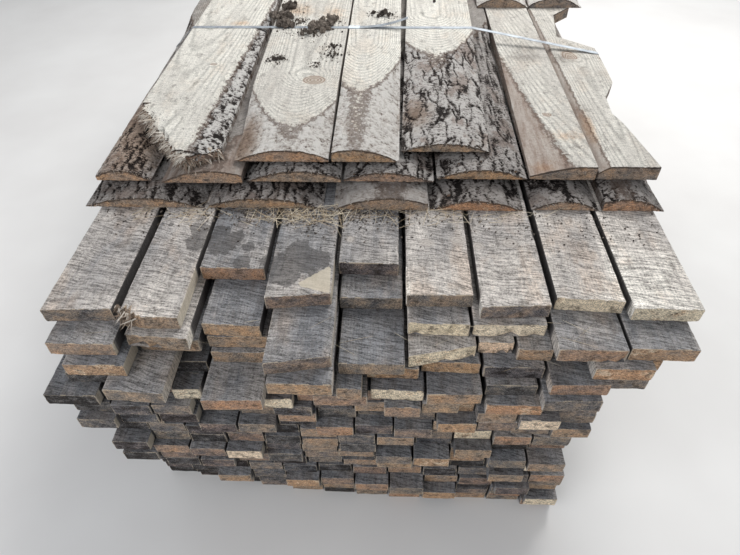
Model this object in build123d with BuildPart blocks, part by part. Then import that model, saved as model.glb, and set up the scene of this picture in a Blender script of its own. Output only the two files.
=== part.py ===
from build123d import *
import os

# A stack of rough pine studs and boards, three rows of bark-edged slabs on top
# and one steel strap. X runs across the boards, Y along them, Z is up.
# The end with the setbacks below points to -Y. All lengths are in millimetres.

# Stock sizes
stud_thickness = 38
stud_width = 89
stud_length = 2440
board_width = 124
slab_thickness = 38
slab_length = 2135
short_slab_length = 914

# The line that the near ends are measured from
front_line = -1300

# Strap
strap_width = 19
strap_thickness = 0.8
strap_clearance = 0.3
strap_floor_gap = 0.1
strap_position = 24
strap_drift = -115
seal_length = 38
seal_wall = 1.4
seal_play = 0.05
seal_position = -100
tail_length = 165
tail_lift = 32
tail_gap = 0.5

# How finely a slab's rounded back is followed where the strap crosses it
strap_steps = 16

# Layers of narrow studs, the bottom one first. Each has its left edge, the gap
# between studs and how far every stud's end stands behind the front line.
stud_layers = [
    (-610, 4, [105, 95, 80, 70, 60, 55, 50, 45, 44, 48, 46, 33]),
    (-610, 4, [100, 85, 75, 65, 55, 50, 47, 38, 28, 45, 40, 16]),
    (-612, 4, [95, 75, 44, 60, 34, 44, 29, 21, 10, 38, 28, 44]),
    (-608, 4, [85, 70, 26, 43, 17, 25, 11, 3, 40, 35, 10, 38]),
    (-614, 4, [90, 60, 50, 45, 40, 45, 40, 45, 40, 45, 28, 30]),
    (-640, 4.3, [60, 34, 31, 50, 45, 50, 45, 40, 45, 50, 9, 45]),
    (-645, 4.3, [26, 34, 45, 50, 31, 45, 40, 22, 30, 45, 28, 21]),
    (-648, 4.3, [40, 28, 21, 17, 45, 40, 30, 12, 9, 40, 9, 2]),
    (-643, 4.3, [14, 45, 40, 45, 40, 35, 22, 45, 50, 15, 40, 45]),
    (-645, 4.3, [50, 45, 40, 45, 50, 40, 25, 22, 43, 45, 31, 32]),
    (-690, 3.3, [60, 45, 50, 25, 27, 50, 24, 31, 23, 45, 50, 40, 33]),
    (-684, 3.3, [7, 24, 27, 60, 55, 36, 50, 60, 50, 17, 24, 45, 50]),
    (-690, 3.3, [30, 22, 25, 60, 45, 29, 50, 45, 60, 50, 23, 7, 45]),
]

# Layers of boards of mixed widths above them, the lowest one first. Each has
# its left edge and its boards, and a board is given by its extra width, the gap
# to its right and the setbacks of its left and right corners.
board_layers = [
    (-737, [
        (-4, 7, 21, 21),
        (-44, 5, 40, 40),
        (-59, 6, 60, 60),
        (-59, 9, 43, 43),
        (-34, 5, 60, 60),
        (-89, 6, 40, 40),
        (-59, 7, 24, 24),
        (-37, 5, 45, 45),
        (-26, 6, 50, 50),
        (-44, 3, 9, 9),
        (-42, 6, 21, 21),
        (-77, 5, 45, 45),
        (1, 3, 21, 21),
        (3, 0, 33, 33),
    ]),
    (-688, [
        (-21, 6, 57, 57),
        (-15, 6, 46, 48),
        (-36, 9, 92, 92),
        (7, 7, -8, -4),
        (-31, 7, 46, 46),
        (-7, 6, 9, 11),
        (-8, 5, 30, 26),
        (-5, 10, 18, 22),
        (-12, 6, 46, 46),
        (-1, 6, 8, 12),
        (-15, 0, 69, 69),
    ]),
    (-682, [
        (-15, 9, 92, 92),
        (5, 11, -12, -18),
        (-68, 8, 161, 161),
        (6, 8, 92, 92),
        (14, 7, 46, 46),
        (-70, 8, 3, 3),
        (-11, 6, 59, 57),
        (3, 6, 78, 74),
        (6, 5, 66, 66),
        (1, 5, 24, 26),
        (-3, 0, 92, 92),
    ]),
    (-649, [
        (7, 8, 23, 23),
        (8, 14, 92, 92),
        (9, 15, 105, 105),
        (11, 8, -14, -14),
        (15, 7, 40, 40),
        (22, 6, 60, 92),
        (-48, 5, 103, 103),
        (-49, 6, 85, 85),
        (-61, 6, 92, 92),
        (-1, 0, 39, 39),
    ]),
    (-680, [
        (19, 15, 48, 48),
        (10, 20, 74, 66),
        (3, 20, 108, 104),
        (13, 6, 7, 29),
        (16, 10, 191, 191),
        (8, 6, 121, 117),
        (32, 11, 117, 121),
        (17, 6, 56, 56),
        (13, 0, 62, 62),
    ]),
    (-700, [
        (26, 18, 106, 112),
        (4, 9, 90, 92),
        (22, 14, 240, 240),
        (18, 9, 152, 168),
        (13, 15, 263, 261),
        (19, 13, 166, 168),
        (23, 14, 135, 143),
        (19, 11, 165, 157),
        (20, 0, 139, 137),
    ]),
]


class Slab:
    """One slab, sawn from the outside of a tapered log.

    setback is where its near end stands behind the front line, centre is the
    log's middle in X and crown its height above the slab's underside there.
    The skin comes within shy of the upper saw plane at flat_from behind that
    end, swells by swell over a further swell_length, and by late_swell over the
    rest. A flat_from below zero means that the log reached on past the near end,
    so that the sawn face does too. The edges run from left to left + left_lean
    and from right to right + right_lean. near_end and notch give the near end
    and the right edge more corners, as (x, behind the end).
    """

    shy = 0.4
    swell_length = 300

    def __init__(self, left, right, setback, centre, crown, flat_from, swell=46, late_swell=12,
                 left_lean=0, right_lean=0, near_end=(), notch=(), length=slab_length):
        self.front = front_line + setback
        self.centre = centre
        self.crown = crown
        self.flat_from = flat_from
        self.swell = swell
        self.late_swell = late_swell
        self.length = length
        near = list(near_end) or [(left, 0), (right, 0)]
        far = [(right + right_lean, length), (left + left_lean, length)]
        self.outline = near + list(notch) + far
        self.reach = max(centre - left, right - centre)

    def depth(self):
        """How far the log's heart lies under the slab."""
        return (self.reach ** 2 + self.crown ** 2) / (2 * self.crown) - self.crown

    def skin(self):
        """The log's radius at places behind the near end, as (radius, place)."""
        cut = self.depth() + slab_thickness
        start = 0 if self.flat_from > 0 else self.flat_from - self.swell_length
        return [
            (self.depth() + self.crown, start),
            (cut - self.shy, self.flat_from),
            (cut + self.swell, self.flat_from + self.swell_length),
            (cut + self.swell + self.late_swell, self.length),
        ]

    def crosses(self, y):
        return self.front < y < self.front + self.length

    def section(self, y):
        """Points on its back at y, as (x, height above its underside)."""
        behind = y - self.front
        sides = []
        following = self.outline[1:] + self.outline[:1]
        for (x, place), (next_x, next_place) in zip(self.outline, following):
            if (place - behind) * (next_place - behind) < 0:
                sides.append(x + (next_x - x) * (behind - place) / (next_place - place))
        skin = self.skin()
        for (radius, place), (next_radius, next_place) in zip(skin, skin[1:]):
            if place <= behind <= next_place:
                here = radius + (next_radius - radius) * (behind - place) / (next_place - place)
        left, right = min(sides), max(sides)
        spots = [left + (right - left) * step / strap_steps for step in range(strap_steps + 1)]
        half_flat = max(here ** 2 - (self.depth() + slab_thickness) ** 2, 0) ** 0.5
        for x in (self.centre - half_flat, self.centre + half_flat):
            if left < x < right:
                spots.append(x)
        points = []
        for x in sorted(spots):
            height = (here ** 2 - (x - self.centre) ** 2) ** 0.5 - self.depth()
            points.append((x, min(height, slab_thickness)))
        return points


slab_rows = [
    [
        Slab(-739, -436, 455, -590, 30, 500),
        Slab(-425, -136, 457, -290, 31, 420),
        Slab(-110, 125, 455, 30, 37, 60),
        Slab(130, 360, 457, 245, 30, 480),
        Slab(382, 547, 462, 465, 28, 440),
        Slab(556, 706, 462, 610, 36, 120, right_lean=20,
             notch=[(700, 180), (606, 560), (640, 900)]),
    ],
    [
        Slab(-720, -580, 515, -660, 31, 900, left_lean=-40),
        Slab(-551, -343, 508, -420, 36, 150),
        Slab(-335, -94, 517, -200, 33, 600),
        Slab(-87, 141, 522, 20, 28, 700),
        Slab(149, 376, 537, 265, 29, 800, right_lean=12),
        Slab(383, 546, 538, 600, 37, -300, swell=9, late_swell=77, left_lean=12),
        Slab(553, 701, 541, 640, 37, -300, swell=14, late_swell=20, right_lean=32,
             notch=[(668, 214), (652, 268), (660, 366), (706, 460), (714, 620),
                    (714, 710), (606, 808), (636, 1010), (712, 1090)]),
    ],
    [
        Slab(-665, -402, 519, -600, 37, -300, swell=13, late_swell=30, left_lean=12, right_lean=-12,
             near_end=[(-665, 249), (-587, 131), (-505, 13), (-481, 0), (-440, 23), (-402, 60)]),
        Slab(-366, -126, 550, -235, 34, 120, left_lean=-42, right_lean=10),
        Slab(-118, 52, 552, -60, 36, 320, left_lean=8, right_lean=26),
        Slab(58, 288, 602, 172, 25, 514, left_lean=60, right_lean=52),
        Slab(358, 552, 1621, 450, 37, 30, length=short_slab_length),
        Slab(556, 756, 1621, 650, 37, 30, length=short_slab_length),
    ],
]


def sawn_layer(bottom, boards):
    """All the boards of one layer: left edge, right edge and two setbacks each."""
    with BuildPart() as layer:
        with BuildSketch(Plane.XY.offset(bottom)):
            for left, right, left_back, right_back in boards:
                left_front = front_line + left_back
                right_front = front_line + right_back
                with BuildLine():
                    Polyline(
                        (left, left_front),
                        (right, right_front),
                        (right, right_front + stud_length),
                        (left, left_front + stud_length),
                        close=True,
                    )
                make_face()
        extrude(amount=stud_thickness)
    return layer.part


def bark_slab(bottom, slab):
    """The log's skin between two saw planes, so that the sawn top ends in a U."""
    heart = (slab.centre, slab.front, bottom - slab.depth())
    with BuildPart() as piece:
        with BuildSketch(Plane(origin=heart, x_dir=(1, 0, 0), z_dir=(0, 0, 1))):
            with BuildLine():
                skin = slab.skin()
                Polyline((0, skin[0][1]), *skin, (0, slab.length), close=True)
            make_face()
        revolve(axis=Axis(heart, (0, 1, 0)))
        with BuildSketch(Plane.XY.offset(bottom)):
            with BuildLine():
                Polyline(*[(x, slab.front + behind) for x, behind in slab.outline], close=True)
            make_face()
        extrude(amount=slab_thickness, mode=Mode.INTERSECT)
    return piece.part


# Every layer, and the points of their cross-sections that the strap runs round
layers = []
edge_points = []
level = 0

for left_edge, gap, setbacks in stud_layers:
    boards = []
    for column, setback in enumerate(setbacks):
        left = left_edge + column * (stud_width + gap)
        boards.append((left, left + stud_width, setback, setback))
    layers.append((f"stud_layer_{len(layers) + 1:02d}", sawn_layer(level, boards)))
    for x in (boards[0][0], boards[-1][1]):
        edge_points += [(x, level), (x, level + stud_thickness)]
    level += stud_thickness

for left_edge, row in board_layers:
    boards = []
    left = left_edge
    for extra, gap, left_back, right_back in row:
        right = left + board_width + extra
        boards.append((left, right, left_back, right_back))
        left = right + gap
    layers.append((f"board_layer_{len(layers) + 1:02d}", sawn_layer(level, boards)))
    for x in (boards[0][0], boards[-1][1]):
        edge_points += [(x, level), (x, level + stud_thickness)]
    level += stud_thickness

for slabs in slab_rows:
    with BuildPart() as row:
        for slab in slabs:
            add(bark_slab(level, slab))
    layers.append((f"slab_layer_{len(layers) + 1:02d}", row.part))
    for slab in slabs:
        strap_y = strap_position
        if slab is slabs[-1]:
            strap_y += strap_drift
        if slab.crosses(strap_y):
            points = slab.section(strap_y)
            edge_points += [(x, level + height) for x, height in points]
            edge_points += [(points[0][0], level), (points[-1][0], level)]
            top_right = points[-1][0]
    level += slab_thickness

stack_top = level

# The strap's run under the bottom studs is pressed into them by its own height
recess = strap_thickness + strap_clearance + strap_floor_gap
edge_points = [(x, max(z, recess)) for x, z in edge_points]


def turn(a, b, c):
    """Positive where the path a, b, c turns left."""
    return (b[0] - a[0]) * (c[1] - a[1]) - (b[1] - a[1]) * (c[0] - a[0])


def wrapped(points):
    """The corners of a band pulled tight round the points, anticlockwise."""
    corners = []
    for run in (sorted(set(points)), sorted(set(points), reverse=True)):
        side = []
        for point in run:
            while len(side) > 1 and turn(side[-2], side[-1], point) <= 0:
                side.pop()
            side.append(point)
        corners += side[:-1]
    return corners


def moved_out(corners, distance):
    """The same corners, moved out so that each side shifts by the distance."""
    result = []
    for before, here, after in zip(corners[-1:] + corners[:-1], corners, corners[1:] + corners[:1]):
        into = (Vector(*here) - Vector(*before)).normalized()
        out_of = (Vector(*after) - Vector(*here)).normalized()
        normal = Vector(into.Y, -into.X) + Vector(out_of.Y, -out_of.X)
        result.append(Vector(*here) + normal * (2 * distance / normal.length ** 2))
    return result


# From the right edge of the highest row the strap drifts along the boards, and
# it comes back under the stack
corners = wrapped(edge_points)
rightmost = max(x for x, z in corners)
base_left = min(x for x, z in corners if z == recess)
base_right = max(x for x, z in corners if z == recess)


def strap_along(x, z):
    """The strap's place along the boards at one corner of its run."""
    if z > stack_top / 2:
        share = (x - top_right) / (rightmost - top_right)
    elif z > recess:
        share = 1 if x > 0 else 0
    else:
        share = (x - base_left) / (base_right - base_left)
    return strap_position + strap_drift * min(max(share, 0), 1)


rings = []
inner = moved_out(corners, strap_clearance)
outer = moved_out(corners, strap_clearance + strap_thickness)
for (x, z), low, high in zip(corners, inner, outer):
    near = strap_along(x, z) - strap_width / 2
    far = strap_along(x, z) + strap_width / 2
    ring = [(low.X, near, low.Y), (high.X, near, high.Y), (high.X, far, high.Y), (low.X, far, low.Y)]
    rings.append(Wire.make_polygon(ring))
with BuildPart() as band:
    for ring, next_ring in zip(rings, rings[1:] + rings[:1]):
        add(Solid.make_loft([ring, next_ring], ruled=True))

with BuildPart() as bottom_layer:
    add(layers[0][1])
    with BuildSketch():
        with BuildLine():
            reach = strap_width / 2 + strap_clearance
            Polyline(
                (base_left, strap_along(base_left, recess) - reach),
                (base_right, strap_along(base_right, recess) - reach),
                (base_right, strap_along(base_right, recess) + reach),
                (base_left, strap_along(base_left, recess) + reach),
                close=True,
            )
        make_face()
    extrude(amount=recess, mode=Mode.SUBTRACT)
layers[0] = (layers[0][0], bottom_layer.part)

# Crimped seal, folded over the strap on top of the stack
strap_top = stack_top + strap_clearance + strap_thickness
seal_height = strap_top + seal_wall - stack_top
with BuildPart() as seal:
    with BuildSketch(Plane.XY.offset(stack_top)):
        with Locations((seal_position, strap_position)):
            Rectangle(seal_length, strap_width + 2 * seal_wall)
    extrude(amount=seal_height)
    with BuildSketch(Plane.XY.offset(stack_top)):
        with Locations((seal_position, strap_position)):
            Rectangle(2 * seal_length, strap_width + 2 * seal_play)
    extrude(amount=strap_top + seal_play - stack_top, mode=Mode.SUBTRACT)

# Loose tail of the strap, springing up beyond the seal
tail_start = seal_position + seal_length / 2 + tail_gap
tail_bottom = strap_top + strap_clearance
with BuildPart() as tail:
    with BuildSketch(Plane.XZ.offset(-strap_position)):
        with BuildLine():
            under = Bezier(
                (tail_start, tail_bottom),
                (tail_start + tail_length / 2, tail_bottom),
                (tail_start + tail_length, tail_bottom + tail_lift),
            )
            over = Bezier(
                (tail_start, tail_bottom + strap_thickness),
                (tail_start + tail_length / 2, tail_bottom + strap_thickness),
                (tail_start + tail_length, tail_bottom + tail_lift + strap_thickness),
            )
            Line(under @ 0, over @ 0)
            Line(under @ 1, over @ 1)
        make_face()
    extrude(amount=strap_width / 2, both=True)

with BuildPart() as strap:
    add(band.part)
    add(tail.part)

finished = layers + [("steel_strap", strap.part), ("strap_seal", seal.part)]

# Everything moves together until the stack stands centred on the origin
boxes = [part.bounding_box() for name, part in finished]
middle_x = (min(box.min.X for box in boxes) + max(box.max.X for box in boxes)) / 2
middle_y = (min(box.min.Y for box in boxes) + max(box.max.Y for box in boxes)) / 2
to_centre = Location((-middle_x, -middle_y, 0))

os.makedirs("parts", exist_ok=True)
for name, part in finished:
    with BuildPart() as placed:
        add(part.moved(to_centre))
    placed.part.label = name
    export_step(placed.part, f"parts/{name}.step")
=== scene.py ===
import math
import random
import bmesh
import bpy
from mathutils import Matrix, Vector, noise


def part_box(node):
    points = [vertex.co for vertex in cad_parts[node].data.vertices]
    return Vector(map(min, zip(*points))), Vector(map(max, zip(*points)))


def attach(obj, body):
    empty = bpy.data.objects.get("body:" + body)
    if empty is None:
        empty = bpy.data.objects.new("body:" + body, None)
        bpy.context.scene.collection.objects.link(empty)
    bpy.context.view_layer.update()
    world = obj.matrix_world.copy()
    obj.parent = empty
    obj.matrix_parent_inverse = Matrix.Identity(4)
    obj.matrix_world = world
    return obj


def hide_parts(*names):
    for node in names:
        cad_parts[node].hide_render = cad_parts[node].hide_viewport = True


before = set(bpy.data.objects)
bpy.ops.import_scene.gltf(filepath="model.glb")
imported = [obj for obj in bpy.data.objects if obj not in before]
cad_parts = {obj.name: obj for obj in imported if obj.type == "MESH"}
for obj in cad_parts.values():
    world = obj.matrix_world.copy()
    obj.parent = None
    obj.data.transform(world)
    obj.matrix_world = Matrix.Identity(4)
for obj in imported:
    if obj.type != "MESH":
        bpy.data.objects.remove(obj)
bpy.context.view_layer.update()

mm = 0.001
middle = (-2, 59.5)   # how far the stack was moved to stand centred, in mm
frontLine = -1300       # the near ends are measured from here, in mm
boardTop = 722          # height of the highest board layer, in mm
slabTop = 836           # height of the highest slabs, in mm


def clamped(value):
    return min(1, max(0, value))


def hum(x, y, z, shift=Vector((0, 0, 0))):
    # smooth noise from -1 to 1
    return noise.noise(Vector((x, y, z)) + shift)


def show(name, data):
    item = bpy.data.objects.new(name, data)
    bpy.context.scene.collection.objects.link(item)
    return item


def addNode(tree, kind, inputs={}, **settings):
    # the settings come first, because they decide which sockets a node has
    made = tree.nodes.new(kind)
    for key, value in settings.items():
        if key == "stops":
            ramp = made.color_ramp
            while len(ramp.elements) < len(value):
                ramp.elements.new(0.5)
            for element, (position, colour) in zip(ramp.elements, value):
                element.position = position
                element.color = (*colour, 1)
        else:
            setattr(made, key, value)
    for key, value in inputs.items():
        if isinstance(value, bpy.types.NodeSocket):
            tree.links.new(value, made.inputs[key])
        else:
            made.inputs[key].default_value = value
    return made


# shader maths, written as plain expressions

class Link:
    def __init__(self, finish, socket):
        self.finish = finish
        self.socket = socket

    def __add__(self, other):
        return self.finish.maths("ADD", self, other)

    def __sub__(self, other):
        return self.finish.maths("SUBTRACT", self, other)

    def __rsub__(self, other):
        return self.finish.maths("SUBTRACT", other, self)

    def __mul__(self, other):
        return self.finish.maths("MULTIPLY", self, other)

    def __pow__(self, other):
        return self.finish.maths("POWER", self, other)

    __radd__ = __add__
    __rmul__ = __mul__

    def above(self, start, full):
        # 0 below start, 1 past full, smooth between them
        return self.finish.node("MapRange", {"Value": self, "From Min": start, "From Max": full},
                                interpolation_type="SMOOTHSTEP")

    def wave(self):
        return self.finish.maths("SINE", self, 0)


class Finish:
    def __init__(self, name, specular):
        self.material = bpy.data.materials.new(name)
        self.material.use_nodes = True
        self.tree = self.material.node_tree
        self.tree.nodes.clear()
        self.specular = specular
        self.place = self.node("TexCoord", {}, "Object")
        self.x, self.y, self.z = (self.node("SeparateXYZ", {0: self.place}, axis) for axis in "XYZ")

    def node(self, kind, inputs, output=0, **settings):
        plain = {key: value.socket if isinstance(value, Link) else value for key, value in inputs.items()}
        return Link(self, addNode(self.tree, "ShaderNode" + kind, plain, **settings).outputs[output])

    def maths(self, operation, first, second):
        return self.node("Math", {0: first, 1: second}, operation=operation)

    def fact(self, name):
        return self.node("Attribute", {}, "Fac", attribute_name=name)

    def cloudAt(self, x, y, z, detail=4, rough=0.7):
        return self.cloudOver(self.node("CombineXYZ", {0: x, 1: y, 2: z}), detail, rough)

    def cloud(self, scale, detail=4, rough=0.7, shift=None):
        spot = self.node("VectorMath", {0: self.place, 1: scale}, operation="MULTIPLY")
        if shift is not None:
            apart = self.node("CombineXYZ", {0: shift, 1: shift * 3.1, 2: shift * 1.7})
            spot = self.node("VectorMath", {0: spot, 1: apart}, operation="ADD")
        return self.cloudOver(spot, detail, rough)

    def cloudOver(self, spot, detail, rough):
        return self.node("TexNoise", {"Vector": spot, "Scale": 1, "Detail": detail, "Roughness": rough})

    def ramp(self, value, stops):
        return self.node("ValToRGB", {0: value}, stops=stops)

    def mix(self, share, first, second, how="MIX"):
        first, second = (colour if isinstance(colour, Link) else (*colour, 1) for colour in (first, second))
        return self.node("Mix", {0: share, 6: first, 7: second}, 2, data_type="RGBA", blend_type=how)

    def tinted(self, share, colour, tint):
        return self.mix(share, colour, tint, "MULTIPLY")

    def grey(self, value):
        return self.node("CombineColor", {0: value, 1: value, 2: value})

    def rings(self, drift, pitch):
        # growth rings: a wave of the distance from the pith, which drifts along the board
        return ((self.fact("grain") + drift) * (2 * math.pi / pitch)).wave() * 0.5 + 0.5

    def knotted(self, colour, look):
        # rings of two browns, stronger towards the middle of a knot
        knot = self.fact("knot")
        ring = (knot * look["turns"]).wave() * 0.5 + 0.5
        share = knot.above(*look["fade"]) * look["share"]
        return self.mix(share, colour, self.mix(ring, look["dark"], look["pale"]))

    def finishWith(self, colour, roughness, height, depth, metallic=0):
        normal = self.node("Bump", {"Strength": 1, "Distance": depth, "Height": height}, "Normal")
        surface = self.node("BsdfPrincipled", {
            "Base Color": colour, "Roughness": roughness, "Metallic": metallic,
            "Specular IOR Level": self.specular, "Normal": normal})
        addNode(self.tree, "ShaderNodeOutputMaterial", {"Surface": surface.socket})
        return self.material


# weathered sawn pine

sawnLook = {
    "dark": (0.085, 0.078, 0.075), "blueGrey": (0.175, 0.178, 0.188), "grey": (0.33, 0.31, 0.295),
    "warm": (0.5, 0.465, 0.43), "pale": (0.74, 0.71, 0.65), "brown": (1, 0.8, 0.64),
    "grime": (0.085, 0.07, 0.06), "pit": (0.05, 0.04, 0.035), "wet": (0.05, 0.046, 0.046),
    "fresh": (0.62, 0.55, 0.43), "ringPitch": 0.0062, "rings": 0.16, "speck": 0.6, "saw": 1,
    "streak": 0.1, "patches": 0.9, "browner": 0.36,
    "knot": {"turns": 20, "fade": (0, 0.4), "share": 0.75, "dark": (0.36, 0.32, 0.29),
             "pale": (0.54, 0.5, 0.46)},
}
slabSawnLook = {**sawnLook, "ringPitch": 0.0031, "rings": 0.34, "speck": 0.34, "saw": 0.3, "patches": 0.6,
                "browner": 0.18, "warm": (0.5, 0.475, 0.435), "pale": (0.72, 0.7, 0.64)}


def sawnColour(wood, look):
    # streaks along the grain, slanting saw marks, rings, specks and grime
    seed = wood.fact("seed") * 40
    x, y, z = wood.x, wood.y, wood.z
    bend = wood.cloud((5, 3, 5), 2, 0.5, seed)
    streak = wood.cloudAt(x * 120 + bend * 5, y * 5 + seed, z * 120)
    patches = wood.cloud((8, 3.5, 8), 4, 0.6, seed)
    speck = wood.cloud((300, 210, 300), 4, 0.85).above(0.38, 0.62)
    aslant = (y + x * 0.2 + bend * 0.06) * 245
    sawMark = wood.cloudAt(x * 26 + seed, aslant, z * 30, 5, 0.82).above(0.38, 0.6)
    drift = wood.cloud((6, 1.6, 6), 1, 0.4, seed) * 0.006
    ring = wood.rings(drift, look["ringPitch"]) ** 3 * patches.above(0.3, 0.58)
    level = wood.fact("tone") + (streak - 0.5) * 0.28 + (patches - 0.5) * look["patches"]
    colour = wood.ramp(level, [(0, look["dark"]), (0.26, look["blueGrey"]), (0.5, look["grey"]),
                               (0.72, look["warm"]), (1, look["pale"])])
    plain = 1 - (look["speck"] + look["saw"]) * 0.5 + look["rings"] * 0.3
    shade = (plain + speck * look["speck"] + sawMark * look["saw"] + (streak - 0.5) * (3 * look["streak"])
             - ring * look["rings"])
    shade = wood.node("Clamp", {"Value": shade, "Min": 0.2, "Max": 1.7})
    colour = wood.tinted(1, colour, wood.grey(shade))
    # browner where the weather has not yet greyed the wood
    browner = wood.cloud((11, 5, 11), 4, 0.65, seed * 1.3).above(0.5, 0.66)
    colour = wood.mix(browner * look["browner"], colour, wood.tinted(1, colour, look["brown"]))
    grime = wood.cloud((38, 20, 38), 5, 0.75, seed).above(0.53, 0.7)
    colour = wood.mix(grime * 0.5, colour, look["grime"])
    pits = wood.cloud((210, 120, 210), shift=seed).above(0.6, 0.68)
    colour = wood.mix(pits * 0.7, colour, look["pit"])
    height = sawMark * 0.35 + speck * 0.45 + streak * 0.6 - ring * 0.06 - pits * 0.4
    return colour, height


def makeSawn():
    wood = Finish("weathered sawn pine", specular=0.25)
    colour, height = sawnColour(wood, sawnLook)
    uneven = (wood.cloud((60, 60, 60)) - 0.5) * 0.9
    # the wet fact holds real wet marks on the top boards and, at about 2, painted shade on board sides hidden
    # in the gaps; paintedGapShade darkens those gaps further with painted shade
    wet = (wood.fact("wet") + uneven).above(0.24, 0.36)
    paintedGapShade = wood.fact("wet").above(1.2, 1.9)
    colour = wood.mix(wet * 0.62 + paintedGapShade * 0.28, colour, sawnLook["wet"])
    colour = wood.knotted(colour, sawnLook["knot"])
    # fresh wood colour on the fresh patch of the top layer, and painted light cream on board sides that stand
    # clear on the right
    colour = wood.mix(wood.fact("fresh").above(0.3, 0.45) * 0.7, colour, sawnLook["fresh"])
    return wood.finishWith(colour, 0.86 - wet * 0.2, height, 0.0011)


# sawn faces and bark of the slabs

fissure, barkShade = (0.016, 0.012, 0.011), (0.075, 0.06, 0.053)
barkLook = {
    "whitish": [(0.02, fissure), (0.2, (0.17, 0.13, 0.105)), (0.42, (0.47, 0.43, 0.395)),
                (0.8, (0.72, 0.695, 0.66))],
    "whitishPatch": [(0.1, barkShade), (0.5, (0.21, 0.155, 0.125)), (0.9, (0.42, 0.36, 0.31))],
    "flaky": [(0.14, fissure), (0.3, barkShade), (0.44, (0.36, 0.34, 0.325)), (0.7, (0.7, 0.68, 0.65))],
    "fissured": [(0.24, fissure), (0.38, barkShade), (0.5, (0.27, 0.245, 0.23)), (0.78, (0.6, 0.575, 0.55))],
    "reddish": [(0.2, fissure), (0.85, (0.27, 0.19, 0.15))],
    "inner": [(0.25, (0.27, 0.185, 0.145)), (0.48, (0.46, 0.385, 0.335)), (0.75, (0.66, 0.62, 0.57))],
    "collarAndShade": (0.15, 0.105, 0.082), "soiledAndShaded": (0.28, 0.25, 0.24), "browned": (0.92, 0.66, 0.46),
    "knot": {"turns": 26, "fade": (0.02, 0.16), "share": 0.85, "dark": (0.27, 0.19, 0.14),
             "pale": (0.55, 0.48, 0.41)},
}


def makeSlab():
    wood = Finish("slab, sawn face and bark", specular=0.2)
    sawn, sawnHeight = sawnColour(wood, slabSawnLook)
    relief = wood.fact("relief")
    flakes = wood.cloud((170, 130, 170), 6, 0.8)
    scales = wood.cloud((75, 210, 75), 4, 0.75)
    coarse = wood.cloud((26, 16, 26))
    rough = relief + (flakes - 0.5) * 2.4 + (scales - 0.5) * 1.9 + (coarse - 0.5) * 1.1
    gentle = relief + (flakes - 0.5) * 2.2 + (scales - 0.5) * 1.7 + 0.21
    whitish = wood.mix(coarse.above(0.56, 0.68) * 0.45, wood.ramp(gentle, barkLook["whitish"]),
                       wood.ramp(rough, barkLook["whitishPatch"]))
    reddish = wood.cloud((13, 8, 13), 4, 0.6).above(0.52, 0.62)
    fissured = wood.mix(reddish * 0.6, wood.ramp(rough, barkLook["fissured"]),
                        wood.ramp(rough, barkLook["reddish"]))
    inner = wood.ramp(wood.cloud((60, 7, 60), 4, 0.65) + (flakes - 0.5) * 0.5, barkLook["inner"])
    kind = wood.fact("barkKind")   # 0 whitish, 0.35 flaky, 0.6 fissured grey, 1 smooth inner bark
    bark = wood.mix(kind.above(0.1, 0.25), whitish, wood.ramp(rough, barkLook["flaky"]))
    bark = wood.mix(kind.above(0.42, 0.52), bark, fissured)
    bark = wood.mix(kind.above(0.7, 0.9), bark, inner)
    edge = wood.fact("bark") + (wood.cloud((60, 50, 60), 5, 0.75) - 0.5) * 1.6
    # a brown collar where the saw ran out of the bark, darkened with painted shade where the bark rises in a
    # step
    collarAndShade = edge.above(0.3, 0.5) - edge.above(0.55, 0.85)
    ragged = edge.above(0.42, 0.54)
    colour = wood.mix(ragged, sawn, bark)
    colour = wood.mix(collarAndShade * 0.75, colour, barkLook["collarAndShade"])
    colour = wood.knotted(colour, barkLook["knot"])
    mottled = (wood.cloud((50, 35, 50), 5, 0.75) - 0.5) * 0.9
    # darker where the dark fact is high: the lower rows' darkening and stains, and by the strap a painted
    # shadow of the strap
    dark = (wood.fact("wet") + mottled).above(0.05, 0.8)
    colour = wood.mix(dark * 0.75, colour, wood.tinted(1, colour, barkLook["soiledAndShaded"]))
    brown = (wood.fact("fresh") + mottled).above(0.08, 0.7)
    colour = wood.mix(brown * 0.65, colour, wood.tinted(1, colour, barkLook["browned"]))
    height = wood.mix(ragged, wood.grey(sawnHeight), wood.grey(rough * 2))
    height = wood.node("SeparateColor", {0: height})
    return wood.finishWith(colour, 0.88, height, 0.0015)


# end grain, with rings, saw scratches, a dark rim under bark and a frayed edge on sawn boards, partly a
# painted highlight

endLook = {
    "tones": [(0, (0.03, 0.027, 0.027)), (0.2, (0.13, 0.125, 0.13)), (0.36, (0.24, 0.2, 0.17)),
              (0.55, (0.37, 0.268, 0.195)), (0.75, (0.47, 0.285, 0.165)), (1, (0.74, 0.63, 0.48))],
    "hues": [(0, (1, 0.84, 0.78)), (0.35, (1, 1, 1)), (0.7, (0.98, 0.98, 0.91)),
             (1, (0.86, 0.92, 0.98))],
    "dirt": (0.055, 0.042, 0.034), "rim": (0.045, 0.034, 0.03), "frayedAndLit": (0.6, 0.51, 0.39),
    "ringPitch": 0.0048,
}


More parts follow.
